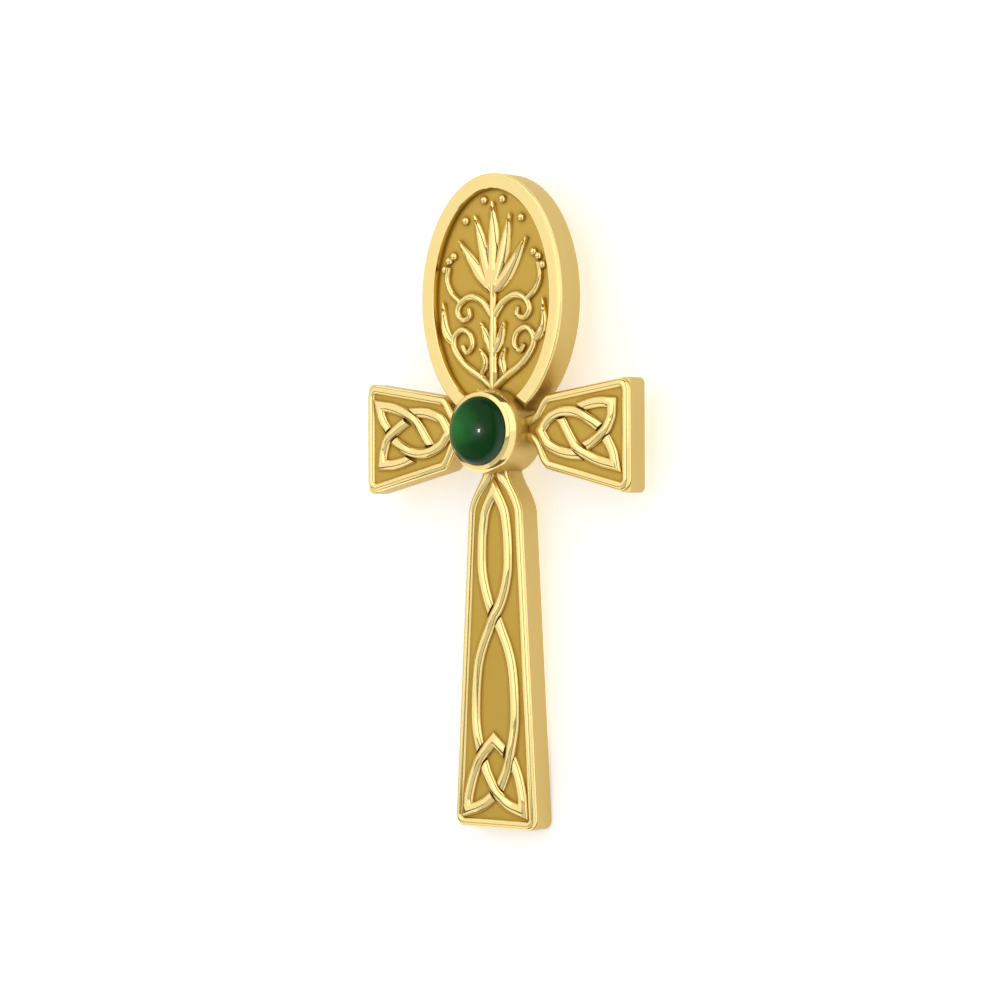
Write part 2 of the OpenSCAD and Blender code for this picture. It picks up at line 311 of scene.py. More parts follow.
@dataclass(frozen=True)
class Strip:
    """A raised band with a rounded top, such as a bead, a strand or a vine.

    Args:
        rise: height above what it lies on.
        base: height of what it lies on.
        sides: how many flats round the top.
        sink: how far its foot reaches below the base.
        crown: how flat the top is: 1 is half round, more is flatter.
    """

    rise: float
    base: float
    sides: int = 10
    sink: float = 0.1
    crown: float = 1.0

    def section(self) -> list[Point]:
        """Shares of half width and of rise, from the right foot to the left one."""
        angles = [math.pi * i / self.sides for i in range(self.sides + 1)]
        return [(-math.cos(t), math.sin(t) ** self.crown) for t in angles]

    def build(
        self,
        path: Path,
        widths: Sequence[float],
        sides: Sequence[np.ndarray] | None = None,
        lift: Sequence[float] | None = None,
    ) -> Shape:
        """Sweeps the band along a path.

        Args:
            path: the middle line.
            widths: the band's width at each point.
            sides: the sideways direction at each point, if not square to the path.
            lift: how far each point is raised or lowered.

        Returns:
            The band.
        """
        rings = []
        for i, p in enumerate(path):
            side = sideways(path, i) if sides is None else sides[i]
            up = 0.0 if lift is None else lift[i]
            ring = [
                (*(p + side * s * widths[i] / 2), self.base + h * (self.rise + up))
                for s, h in self.section()
            ]
            (x0, y0, _), (x1, y1, _) = ring[0], ring[-1]
            low = self.base - self.sink
            rings.append(np.array([(x0, y0, low), *ring, (x1, y1, low)]))
        return Workshop.loft(rings)


Row = tuple[Points, ...]


@dataclass(frozen=True)
class Knot:
    """Interlaced strands that lie on a panel.

    Args:
        rows: for each stretch, the strand that it starts under, its leg to a first
            tip, its leg on from there, its leg from a second tip if it has one, and
            the strand that it ends under, all in shares of the panel.
        place: turns a share into a point of the panel.
        width: a strand's width.
        strip: the strands' section.
        gap: clear space where a strand passes under another.
        hump: how much higher a strand is where it passes over another.
        dip: share of the hump by which a strand sinks beside a crossing.
        on_top: share of the width within which a point lies on the upper strand.
        tip_clear: share of the width that stays free of points next to a tip.
        steps: how finely each stretch is drawn.
    """

    rows: Sequence[Row]
    place: Callable[[Point], Point]
    width: float
    strip: Strip
    gap: float = 0.07
    hump: float = 0.1
    dip: float = 0.9
    on_top: float = 0.35
    tip_clear: float = 0.92
    steps: int = 7

    def leg(self, shares: Points) -> Path:
        """One leg's middle line in the panel."""
        return curve([self.place(p) for p in shares], self.steps)

    def clear_of(self, path: Path, tip: np.ndarray) -> Path:
        """The points of a leg that lie clear of its sharp tip."""
        away = np.linalg.norm(path - tip, axis=1)
        return path[away > self.width * self.tip_clear]

    def line(self, over: Points) -> tuple[np.ndarray, np.ndarray]:
        """Start and direction of the strand that lies over a crossing."""
        a, b = (np.array(self.place(p), float) for p in over)
        return a, unit(b - a)

    def stopped(self, path: Path, over: Points) -> Path:
        """A path whose last point is slid along it, to stop short of the one over it.

        Args:
            path: the middle line, from elsewhere to the crossing.
            over: the strand that lies over it.

        Returns:
            The path with its last point moved, and points beyond that dropped.
        """
        start, d = self.line(over)
        m = left_of(d)
        room = self.width / 2 + self.gap
        sides = (path - start) @ m
        away = np.sign(sides[-1])
        n = len(path)
        near = np.linalg.norm(path - path[-1], axis=1) < self.width
        while n > 2 and away * sides[n - 2] < room and near[n - 2]:
            n -= 1
        kept = path[: n - 1]
        last = path[n - 1]
        t = unit(last - kept[-1])
        return np.vstack([kept, last + t * ((away * room - (last - start) @ m) / (t @ m))])

    def strand(self, row: Row) -> tuple[Path, list[np.ndarray]]:
        """The middle line of one stretch, with its sideways directions.

        Args:
            row: the stretch.

        Returns:
            The line and a direction for each of its points.
        """
        under, first, second, *more, last = row
        tip = np.array(self.place(first[-1]), float)
        path = np.vstack([self.clear_of(self.leg(first), tip), tip])
        rest = self.clear_of(self.leg(second), tip)
        for leg in more:
            other = np.array(self.place(leg[0]), float)
            rest = np.vstack([self.clear_of(rest, other), other, self.clear_of(self.leg(leg), other)])
        path = np.vstack([path, rest])
        path = self.stopped(self.stopped(path[::-1], under)[::-1], last)
        sides = [sideways(path, i) for i in range(len(path))]
        for i, over in ((0, under), (-1, last)):
            d = self.line(over)[1]
            sides[i] = d / (d @ sides[i])
        return path, sides

    def lift(self, path: Path) -> np.ndarray:
        """How much each point of a strand rises over a crossing or dips beside one."""
        out = np.zeros(len(path))
        crossings = {tuple(map(tuple, over)) for row in self.rows for over in (row[0], row[-1])}
        for over in crossings:
            a, b = (np.array(self.place(p), float) for p in over)
            middle, d = (a + b) / 2, unit(b - a)
            near = np.linalg.norm(path - middle, axis=1)
            beside = np.abs((path - middle) @ left_of(d))
            rise = np.exp(-((near / self.width) ** 2))
            on_top = beside < self.width * self.on_top
            out += np.where(on_top, rise * self.hump, -rise * self.hump * self.dip)
        return out

    def build(self) -> list[Shape]:
        """Makes all the strands."""
        made = []
        for row in self.rows:
            path, sides = self.strand(row)
            made.append(self.strip.build(path, [self.width] * len(path), sides, self.lift(path)))
        return made


def arm_rows() -> list[Row]:
    """The three-cornered knot, in shares of its length and of its half height."""
    back = [(0.804, 0.066), (0.888, -0.165)]
    front = [(0.462, 0.295), (0.637, 0.68)]
    low = [(0.427, -0.656), (0.287, -0.598)]
    foot = [(0.707, -0.374), (0.567, -0.591)]
    outer_tip, lower_tip, inner_tip = (1.0, 0.975), (0.958, -0.985), (0.045, 0.0)
    return [
        (
            low,
            [
                (0.315, -0.377), (0.378, -0.083), (0.462, 0.295), (0.539, 0.522),
                (0.637, 0.68), (0.769, 0.833), (0.902, 0.93), outer_tip,
            ],
            [outer_tip, (0.99, 0.8), (0.97, 0.6), (0.935, 0.39), (0.9, 0.23)],
            back,
        ),
        (
            back,
            [
                (0.79, -0.214), (0.707, -0.374), (0.567, -0.591), (0.427, -0.656),
                (0.287, -0.598), (0.147, -0.372), inner_tip,
            ],
            [inner_tip, (0.147, 0.411), (0.287, 0.606), (0.399, 0.675), (0.469, 0.685)],
            front,
        ),
        (
            front,
            [
                (0.581, 0.472), (0.692, 0.302), (0.804, 0.066), (0.888, -0.165),
                (0.925, -0.39), (0.95, -0.613), (0.962, -0.833), lower_tip,
            ],
            [lower_tip, (0.87, -1.0), (0.77, -0.975), (0.68, -0.92), (0.61, -0.855)],
            foot,
        ),
    ]


def stem_rows() -> list[Row]:
    """The stem's interlace, in shares of the field's half width and of its length."""
    long = [
        (0.21, 0.433), (0.39, 0.476), (0.53, 0.525), (0.59, 0.571),
        (0.617, 0.634), (0.613, 0.697), (0.58, 0.74),
    ]
    eye = [(0.38, 0.061), (0.48, 0.104), (0.53, 0.165), (0.517, 0.236), (0.45, 0.278), (0.34, 0.318)]
    over_eye = [(0.17, 0.36), (-0.17, 0.425)]
    over_left = [(-0.22, 0.799), (-0.52, 0.852)]
    over_right = [(0.52, 0.78), (0.4, 0.843)]
    over_cross = [(0.14, 0.949), (-0.06, 0.916)]
    top, peak, left_foot, right_foot = (0.0, 0.0), (-0.03, 0.774), (-0.77, 0.996), (0.775, 0.991)
    right_end = over_right[0]
    return [
        (
            over_eye,
            [(-0.2, 0.36), *mirrored(eye[::-1]), top],
            [top, *eye, (0.17, 0.36), (0.0, 0.39), *mirrored(long), (-0.52, 0.775)],
            over_left,
        ),
        (
            over_eye,
            [(0.1, 0.408), *long, right_end],
            [right_end, (0.45, 0.822), (0.34, 0.864), (0.21, 0.9)],
            over_cross,
        ),
        (
            over_right,
            [(0.2, 0.8), peak],
            [
                peak, (-0.22, 0.799), (-0.36, 0.82), (-0.52, 0.852),
                (-0.65, 0.893), (-0.73, 0.935), (-0.775, 0.97), left_foot,
            ],
            [left_foot, (-0.565, 0.9895), (-0.42, 0.981), (-0.275, 0.9707), (-0.13, 0.956)],
            over_cross,
        ),
        (
            over_right,
            [(0.58, 0.858), (0.66, 0.884), (0.73, 0.92), (0.775, 0.963), right_foot],
            [right_foot, (0.4, 0.975), (0.14, 0.949), (-0.06, 0.916), (-0.22, 0.883), (-0.3, 0.86)],
            over_left,
        ),
    ]


@dataclass
class Body:
    """The cast body: loop, arms, stem, collar, borders, knots and relief.

    Names in _t are heights above the back, in _w widths and in _r radii. A neck is a
    limb's narrow root. A drop is how far an arm's knot sinks on its way out.
    """

    arm_reach: float
    stem_reach: float
    loop_a: float = 6.545
    loop_b: float = 9.195
    loop_rise: float = 9.84
    rim_t: float = 2.415
    rim_w: float = 1.12
    rim_bevel: float = 0.15
    edge_t: float = 1.76
    field_t: float = 1.92
    bead_w: float = 0.74
    bead_rise: float = 0.36
    arm_corner_r: float = 0.42
    stem_corner_r: float = 0.7
    bead_corner_r: float = 0.5
    arm_end_up: float = 3.735
    arm_end_down: float = 4.595
    arm_root: float = 4.95
    root_up: float = 2.68
    root_down: float = 2.88
    neck_w: float = 1.44
    neck_tilt: float = 0.12
    neck_inner: float = 0.82
    stem_end_w: float = 7.55
    stem_top_w: float = 5.0
    stem_shoulder: float = 5.95
    stem_neck_w: float = 1.64
    stem_neck_inner: float = 0.85
    arm_swell: float = 0.12
    stem_swell: float = 0.42
    swell_reach: float = 0.9
    strand_w: float = 0.86
    stem_strand_w: float = 0.92
    strand_rise: float = 0.31
    knot_h: float = 4.6
    knot_from: float = 0.82
    knot_margin: float = 0.48
    arm_drops: Point = (0.37, 0.15)
    stem_knot_from: float = 1.17
    stem_knot_margin: float = 0.42
    collar_r: float = 3.125
    collar_h: float = 3.855
    stone_r: float = 2.5
    seat_gap: float = 0.04
    seat_d: float = 0.9
    cut_turn: float = 57.0
    cut_foot: float = 2.9
    cut_slope: float = 1.06
    cut_top: float = 4.0
    cut_sides: Point = (-0.9, 6.0)
    fine: int = 6
    arm_shoulder: Points = ((0, 0), (0.33, 0.2), (0.54, 0.48), (0.76, 0.8), (1, 1))
    stem_curve: Points = ((0, 0), (0.25, 0.26), (0.51, 0.46), (0.76, 0.67), (0.92, 0.86), (1, 1))
    forms: list[Shape] = field(default_factory=list)

    def arm_side(self, root: float, end: float, neck: float, radius: float) -> list[Point]:
        """The bead's middle line along one side of the right arm, from hub to corner."""
        half = self.bead_w / 2
        neck_x, end_x = self.collar_r + half, self.arm_reach - half
        bend = [
            (blend(neck_x, self.arm_root, u), blend(neck, root - half, v))
            for u, v in self.arm_shoulder
        ]
        start = [(self.collar_r - 0.35, neck * self.neck_inner), *bend]
        arc = rounded((end_x, end - half), start[-1], (end_x, 0), radius)
        return [*map(tuple, curve(start, self.fine)), *arc]

    def arm_path(self, radius: float) -> Path:
        """The bead's middle line round the right arm, with corners of a given radius."""
        half, tilt = self.neck_w / 2, self.neck_tilt
        up = self.arm_side(self.root_up, self.arm_end_up, half + tilt, radius)
        down = self.arm_side(self.root_down, self.arm_end_down, half - tilt, radius)
        return np.array(up + [(x, -y) for x, y in down[::-1]])

    def stem_path(self, radius: float) -> Path:
        """The bead's middle line round the stem, with corners of a given radius."""
        half = self.bead_w / 2
        top_x, neck_y = self.stem_top_w / 2 - half, self.collar_r + 0.1
        bend = [
            (blend(self.stem_neck_w / 2, top_x, u), blend(neck_y, self.stem_shoulder, v))
            for u, v in self.stem_curve
        ]
        start = [(self.stem_neck_w / 2 * self.stem_neck_inner, self.collar_r - 0.9), *bend]
        corner = (self.stem_end_w / 2 - half, self.stem_reach - half)
        arc = rounded(corner, start[-1], (0, corner[1]), radius)
        side = [*map(tuple, curve(start, self.fine)), *arc]
        right = [(x, -y) for x, y in side]
        return np.array(right + mirrored(right)[::-1])

    def bordered(
        self, limb: Callable[[float], Path], corner_r: float, swell: float, hand: int = 1
    ) -> list[Shape]:
        """A limb with its sunk edge, its panel and the bead between them.

        Args:
            limb: makes the bead's middle line with corners of a given radius.
            corner_r: radius of the limb's corners.
            swell: how much wider the bead is where it meets the collar.
            hand: 1, or -1 to mirror the limb.

        Returns:
            The three shapes.
        """
        half, back = self.bead_w / 2, 0.08
        outline = widened(limb(corner_r - half), half) * [hand, 1]
        path = limb(self.bead_corner_r) * [hand, 1]
        edge = Workshop.slab(outline, [(back, 0), (0, back), (0, self.edge_t)])
        panel = Workshop.slab(path, [(0, 0.2), (0, self.field_t)])
        away = np.linalg.norm(path, axis=1) - self.collar_r
        extra = swell * np.exp(-((away / self.swell_reach) ** 2))
        path = np.array([p - sideways(path, i) * hand * extra[i] / 2 for i, p in enumerate(path)])
        bead = Strip(self.bead_rise, self.edge_t, sides=12).build(path, self.bead_w - 0.02 + extra)
        return [edge, panel, bead]

    def loop(self) -> None:
        """The oval: a bevelled rim round a sunk field."""
        low, wall, n = self.rim_t - self.rim_bevel, self.rim_w, 176
        bevel = [
            (self.rim_bevel * (1 - math.cos(t)), low + self.rim_bevel * math.sin(t))
            for t in (0.0, 0.45, 0.9, 1.25, 1.5708)
        ]
        inner = [(wall - 0.04, self.rim_t), (wall, self.rim_t - 0.04), (wall + 0.03, self.field_t)]
        angles = 2 * math.pi * np.arange(n) / n
        rings = []
        for step, z in ((0.1, 0), (0, 0.1), *bevel, *inner):
            x = (self.loop_a - step) * np.cos(angles)
            y = self.loop_rise + (self.loop_b - step) * np.sin(angles)
            rings.append(np.column_stack([x, y, np.full(n, z)]))
        cuts = [self.rim_cut(1), self.rim_cut(-1)]
        self.forms.append(Workshop.combine(Workshop.loft(rings), cuts, Join.CUT))

    def rim_cut(self, hand: int) -> Shape:
        """The wedge that slopes one lower end of the rim down to the collar."""
        angle = math.radians(self.cut_turn)
        out = np.array([hand * math.cos(angle), math.sin(angle)])
        side = np.array([math.sin(angle) * hand, -math.cos(angle)])
        low, top = self.field_t - 0.01, self.cut_top
        slope_end = self.cut_foot + (top - self.field_t) * self.cut_slope
        section = [(0.0, low), (self.cut_foot, low), (slope_end, top), (0.0, top)]
        rings = [
            np.array([(*(out * a + side * b), z) for a, z in section]) for b in self.cut_sides
        ]
        return Workshop.loft(rings)

    def arms(self) -> None:
        """Both arms with their knots."""
        knot_in = self.collar_r + self.knot_from
        knot_out = self.arm_reach - self.bead_w - self.knot_margin
        strip = Strip(self.strand_rise, self.field_t)
        for hand, drop in zip((1, -1), self.arm_drops):

            def place(p: Point, hand: int = hand, drop: float = drop) -> Point:
                """Turns a share into a point of this arm."""
                x = hand * blend(knot_in, knot_out, p[0])
                return (x, -hand * p[1] * self.knot_h / 2 - drop * p[0])

            self.forms += self.bordered(self.arm_path, self.arm_corner_r, self.arm_swell, hand)
            self.forms += Knot(arm_rows(), place, self.strand_w, strip).build()

    def stem(self) -> None:
        """The stem with its long interlace."""
        half = self.bead_w / 2
        top_x, end_x = self.stem_top_w / 2 - half, self.stem_end_w / 2 - half
        end_y = self.stem_reach - half
        knot_top = self.collar_r + self.stem_knot_from
        knot_end = self.stem_reach - self.bead_w - self.stem_knot_margin
        strip = Strip(self.strand_rise, self.field_t)

        def place(p: Point) -> Point:
            """Turns a share into a point of the stem."""
            y = blend(knot_top, knot_end, p[1])
            share = (y - self.stem_shoulder) / (end_y - self.stem_shoulder)
            return (p[0] * blend(top_x, end_x, share), -y)

        self.forms += self.bordered(self.stem_path, self.stem_corner_r, self.stem_swell)
        self.forms += Knot(stem_rows(), place, self.stem_strand_w, strip).build()

    def collar(self) -> None:
        """The tall round collar: a steep and a gentle band at its lip, and the seat."""
        r, h, pocket = self.collar_r, self.collar_h, self.stone_r + self.seat_gap
        profile = [
            (r - 0.1, 0), (r, 0.1), (r, h - 0.54), (r - 0.02, h - 0.5), (r - 0.265, h - 0.13),
            (r - 0.29, h - 0.11), (r - 0.33, h - 0.09), (pocket + 0.04, h - 0.008),
            (pocket + 0.01, h), (pocket, h), (pocket, h - self.seat_d),
        ]
        self.forms.append(Workshop.lathe(profile, TURNED_SIDES))

    def build(self) -> Shape:
        """Makes every shape and fuses them, in the pendant's millimetres."""
        self.loop()
        self.arms()
        self.stem()
        self.forms += Relief(self).build()
        self.collar()
        base, *others = self.forms
        body = Workshop.combine(base, others)
        body.name = Part.BODY.value + "_cast"
        return body


@dataclass
class Relief:
    """A lotus on a stalk in the oval, with paired vines, leaves and berries.

    Points are shares of the field's half width and half height, on the right side. A
    vine has its points and its root's share of the full width. A leaf has its root, its
    middle, its tip and its size as a share of a petal's.
    """

    body: Body
    vine_w: float = 0.58
    rise: float = 0.38
    petal_w: float = 1.25
    tip_w: float = 0.1
    berry_r: float = 0.33
    vine_end: float = 0.7
    vines: Sequence[tuple[Points, float]] = (
        (
            (
                (0.02, -0.82), (0.22, -0.72), (0.48, -0.61), (0.67, -0.46), (0.68, -0.35),
                (0.55, -0.28), (0.4, -0.33), (0.36, -0.43), (0.46, -0.49), (0.53, -0.43),
            ),
            1.15,
        ),
        (
            (
                (0.02, -0.16), (0.17, -0.04), (0.38, 0.02), (0.56, -0.03),
                (0.62, -0.12), (0.53, -0.19), (0.41, -0.16), (0.42, -0.09),
            ),
            1.15,
        ),
        (((0.56, -0.03), (0.72, 0.06), (0.8, 0.18), (0.77, 0.3)), 0.9),
    )
    leaves: Sequence[tuple[Point, Point, Point, float]] = (
        ((0.02, 0.06), (0.16, 0.4), (0.3, 0.76), 1.0),
        ((0.02, 0.05), (0.28, 0.26), (0.58, 0.54), 0.95),
        ((0.02, -0.52), (0.12, -0.36), (0.2, -0.22), 0.7),
        ((0.67, -0.42), (0.84, -0.28), (0.86, -0.02), 0.7),
        ((0.2, -0.7), (0.14, -0.58), (0.22, -0.46), 0.6),
    )
    berries: Points = ((0.77, 0.36), (0.69, 0.4), (0.84, 0.28), (0.48, 0.72), (0.16, 0.9))

    def at(self, share: Point) -> Point:
        """A point of the oval from its shares of half width and half height."""
        b = self.body
        return (share[0] * (b.loop_a - b.rim_w), b.loop_rise + share[1] * (b.loop_b - b.rim_w))

    def vine(self, row: tuple[Points, float], hand: int) -> Shape:
        """One curling vine on one side."""
        path = curve([self.at((hand * x, y)) for x, y in row[0]], 7)
        widths = [self.vine_w * blend(row[1], self.vine_end, t) for t in np.linspace(0, 1, len(path))]
        return Strip(self.rise * 0.9, self.body.field_t, sides=8).build(path, widths)

    def leaf(self, row: tuple[Point, Point, Point, float], hand: int) -> Shape:
        """One pointed leaf or petal with a ridge."""
        path = curve([self.at((hand * x, y)) for x, y in row[:3]], 9)
        size = self.petal_w * row[3]
        widths = [
            max(size * (0.24 + 0.76 * math.sin(math.pi * t**0.8)) - size * 0.1 * t, self.tip_w)
            for t in np.linspace(0, 1, len(path))
        ]
        rise = self.rise * (0.75 + 0.2 * row[3])
        return Strip(rise, self.body.field_t, sides=6, crown=1.35).build(path, widths)

    def berry(self, share: Point, hand: int) -> Shape:
        """One round berry."""
        angles = np.linspace(0.12, math.pi - 0.12, 9)
        profile = [(self.berry_r * math.sin(t), -self.berry_r * math.cos(t)) for t in angles]
        ball = Workshop.lathe(profile, 20)
        spot = (*self.at((hand * share[0], share[1])), self.body.field_t + 0.02)
        ball.data.transform(Matrix.Translation(spot))
        return ball

    def build(self) -> list[Shape]:
        """Makes the whole relief."""
        stalk = curve([self.at((0, y)) for y in (-0.9, -0.4, 0.12)], 6)
        widths = [self.vine_w * blend(1.5, 1, t) for t in np.linspace(0, 1, len(stalk))]
        made = [Strip(self.rise, self.body.field_t).build(stalk, widths)]
        made.append(self.leaf(((0, 0.02), (0, 0.46), (0, 0.88), 1.08), 1))
        for hand in (1, -1):
            made += [self.vine(row, hand) for row in self.vines]
            made += [self.leaf(row, hand) for row in self.leaves]
            made += [self.berry(share, hand) for share in self.berries]
        return made


@dataclass(frozen=True)
class Stone:
    """The round cabochon.

    Args:
        radius: its radius.
        foot: height of its flat back.
        girdle: height at which the dome begins.
        dome: height of the dome itself.
    """

    radius: float
    foot: float
    girdle: float
    dome: float

    def build(self) -> Shape:
        """Turns the stone: a straight girdle and an elliptic dome."""
        angles = np.linspace(0, math.pi / 2, 40)[:-1]
        dome = [(self.radius * math.cos(t), self.girdle + self.dome * math.sin(t)) for t in angles]
        profile = [(self.radius * 0.97, self.foot), (self.radius, self.foot + 0.08), *dome]
        profile.append((self.radius * 0.004, self.girdle + self.dome))
        stone = Workshop.lathe(profile, TURNED_SIDES)
        stone.name = Part.STONE.value + "_polished"
        return stone


@dataclass(frozen=True)
class Bail:
    """The plain tube bail behind the loop.

    Args:
        radius: outer radius of the tube.
        bore: radius of the bore.
        length: length of the tube.
        y: its middle above the stone's.
        drop: its middle behind the back.
        bevel: the bevel at the tube's ends.
        gap: clear space between the tube's foot and the back.
    """

    radius: float
    bore: float
    length: float
    y: float
    drop: float
    bevel: float = 0.08
    gap: float = 0.05

    def build(self) -> Shape:
        """Makes the tube, its foot and its bore."""
        r, e, half = self.radius, self.bevel, self.length / 2
        tube = self.turned([(r - e, -half), (r, e - half), (r, half - e), (r - e, half)])
        outline = np.array([(e - half, -r), (half - e, -r), (half - e, r), (e - half, r)])
        foot = Workshop.slab(outline, [(0, 0), (0, self.drop - self.gap)])
        bore = self.turned([(self.bore, -half - 1), (self.bore, half + 1)])
        bail = Workshop.combine(Workshop.combine(tube, [foot]), [bore], Join.CUT)
        bail.name = Part.BAIL.value + "_tube"
        bail.data.transform(Matrix.Translation((0, self.y, -self.drop)))
        return bail

    @staticmethod
    def turned(profile: Points) -> Shape:
        """A turned shape with its axis along X."""
        shape = Workshop.lathe(profile, TURNED_SIDES // 2)
        shape.data.transform(Matrix.Rotation(math.pi / 2, 4, "Y"))
        return shape


class Value:
    """A socket's value in shader maths."""

    def __init__(self, kit: Kit, socket: Any) -> None:
        """Wraps an output socket of a tree."""
        self.kit = kit
        self.socket = socket

    def _math(self, how: str, a: Any, b: Any) -> Value:
        """One Math node."""
        return self.kit.node("ShaderNodeMath", {"operation": how}, {0: a, 1: b}).out(0)

    def __add__(self, other: Any) -> Value:
        """Sum."""
        return self._math("ADD", self, other)

    __radd__ = __add__

    def __mul__(self, other: Any) -> Value:
        """Product."""
        return self._math("MULTIPLY", self, other)

    __rmul__ = __mul__

    def __sub__(self, other: Any) -> Value:
        """Difference."""
        return self._math("SUBTRACT", self, other)

    def __rsub__(self, other: Any) -> Value:
        """Difference from a number."""
        return self._math("SUBTRACT", other, self)

    def __pow__(self, other: Any) -> Value:
        """Power."""
        return self._math("POWER", self, other)

    def clamped(self) -> Value:
        """The value held between 0 and 1."""
        return self.kit.node("ShaderNodeClamp", {}, {0: self}).out(0)


class Made:
    """A node that was just made."""

    def __init__(self, kit: Kit, node: Any) -> None:
        """Wraps a node of a tree."""
        self.kit = kit
        self.node = node

    def out(self, name: Any) -> Value:
        """One of the node's outputs."""
        return Value(self.kit, self.node.outputs[name])


class Kit:
    """Makes the nodes of one material."""

    def __init__(self, tree: Any) -> None:
        """Starts an empty tree."""
        self.tree = tree
        tree.nodes.clear()

    def node(self, kind: str, settings: dict[str, Any], sockets: dict[Any, Any]) -> Made:
        """Makes one node.

        Args:
            kind: the node's type.
            settings: its own settings, set first.
            sockets: a value or a link for each named input.

        Returns:
            The node.
        """
        made = self.tree.nodes.new(kind)
        for name, value in settings.items():
            setattr(made, name, value)
        for name, value in sockets.items():
            if isinstance(value, Value):
                self.tree.links.new(value.socket, made.inputs[name])
            else:
                made.inputs[name].default_value = value
        return Made(self, made)

    def place(self) -> Value:
        """Where a point lies in the frame, in metres."""
        return self.node("ShaderNodeTexCoord", {}, {}).out("Object")

    def noise(self, size: float, detail: float = 3, roughness: float = 0.5) -> Value:
        """Noise from 0 to 1, with lumps of about a size in millimetres."""
        sockets = {"Vector": self.place(), "Scale": 1 / (size * MM)}
        sockets |= {"Detail": detail, "Roughness": roughness}
        return self.node("ShaderNodeTexNoise", {}, sockets).out("Fac")

    def mix(self, share: Any, a: Any, b: Any) -> Value:
        """A colour between two colours."""
        return self.node("ShaderNodeMix", {"data_type": "RGBA"}, {0: share, 6: a, 7: b}).out(2)

    def crevice(self, reach: float) -> Value:
        """How open a point is, from 0 in a crevice to 1, within a reach in millimetres; the golds
        darken their base colour by it as painted shade.
        """
        made = self.node("ShaderNodeAmbientOcclusion", {"samples": 8}, {"Distance": reach * MM})
        return made.out("AO")

    def bump(self, height: Value, strength: float, depth: float) -> Value:
        """A Normal from a height, with the depth of its bumps in millimetres."""
        sockets = {"Strength": strength, "Distance": depth * MM, "Height": height}
        return self.node("ShaderNodeBump", {}, sockets).out("Normal")

    def finish(self, sockets: dict[str, Any]) -> None:
        """The shader and the output."""
        shader = self.node("ShaderNodeBsdfPrincipled", {}, sockets)
        self.node("ShaderNodeOutputMaterial", {}, {"Surface": shader.out("BSDF")})


def new_material(name: str) -> tuple[bpy.types.Material, Kit]:
    """A material with an empty tree."""
    made = bpy.data.materials.new(name)
    made.use_nodes = True
    return made, Kit(made.node_tree)


@dataclass(frozen=True)
class Gold:
    """Yellow gold, from mirror-bright to satin, with painted shade that darkens its base colour in
    crevices.

    Args:
        name: the material's name.
        light: its colour in the open.
        shade_colour: painted shade, the colour its crevices are darkened to.
        rough: its roughness.
        grain: depth of its surface grain in millimetres.
        reach: how far the painted crevice shade spreads, in millimetres.
    """

    name: str
    light: Colour
    shade_colour: Colour
    rough: float
    grain: float
    reach: float = 0.35

    def material(self) -> bpy.types.Material:
        """Builds the material."""
        made, kit = new_material(self.name)
        cloud = kit.noise(2.2, 2)
        fine = kit.noise(0.12, 4, 0.6)
        # Painted shade: ambient occlusion darkens the base colour in crevices, with a little random
        # tone from the cloud noise.
        unshaded = (kit.crevice(self.reach) ** 1.5 * (0.94 + cloud * 0.12)).clamped()
        kit.finish(
            {
                "Base Color": kit.mix(unshaded, self.shade_colour, self.light),
                "Metallic": 1.0,
                "Roughness": self.rough * (0.85 + fine * 0.3),
                "Normal": kit.bump(fine + cloud * 2.0, 0.35, self.grain),
            }
        )
        return made


@dataclass(frozen=True)
class GreenStone:
    """Polished dark green stone, with a painted glow towards its left side and a painted grey-blue
    reflection along its lower right edge.
    """

    name: str = "green_cabochon"
    dark: Colour = (0.002, 0.03, 0.004, 1)
    # The lighter green is the colour of the painted glow.
    light: Colour = (0.012, 0.125, 0.022, 1)
    painted_reflection: Colour = (0.1, 0.15, 0.14, 1)

    def material(self, middle: Vector, radius: float) -> bpy.types.Material:
        """Builds the material.

        Args:
            middle: the stone's middle, in metres.
            radius: the stone's radius, in metres.

        Returns:
            The material.
        """
        made, kit = new_material(self.name)
        sockets = {0: kit.place(), 1: middle}
        offset = kit.node("ShaderNodeVectorMath", {"operation": "SUBTRACT"}, sockets).out(0)
        parts = kit.node("ShaderNodeSeparateXYZ", {}, {0: offset})
        x, y = parts.out("X") * (1 / radius), parts.out("Y") * (1 / radius)
        cloud = kit.noise(0.9, 3, 0.6)
        # Painted glow: lighter towards the left side, with a random mottled tone from the noise.
        painted_glow = (1.1 - ((x + 0.55) ** 2 + (y - 0.1) ** 2) ** 0.5 * 1.2 + (cloud - 0.5) * 0.5).clamped()
        body = kit.mix(painted_glow, self.dark, self.light)
        # Painted reflection: a grey-blue band along the lower right edge, mixed into the base colour.
        out = (x ** 2 + y ** 2) ** 0.5
        edge = ((out - 0.85) * 6).clamped() * (0.2 + x * 0.3 - y * 0.75).clamped() * 0.6
        kit.finish(
            {
                "Base Color": kit.mix(edge, body, self.painted_reflection),
                "Roughness": 0.28 + kit.noise(0.3, 2) * 0.06,
                "IOR": 1.45,
                "Specular IOR Level": 0.08,
                "Coat Weight": 0.09,
                "Coat Roughness": 0.05,
            }
        )
        return made


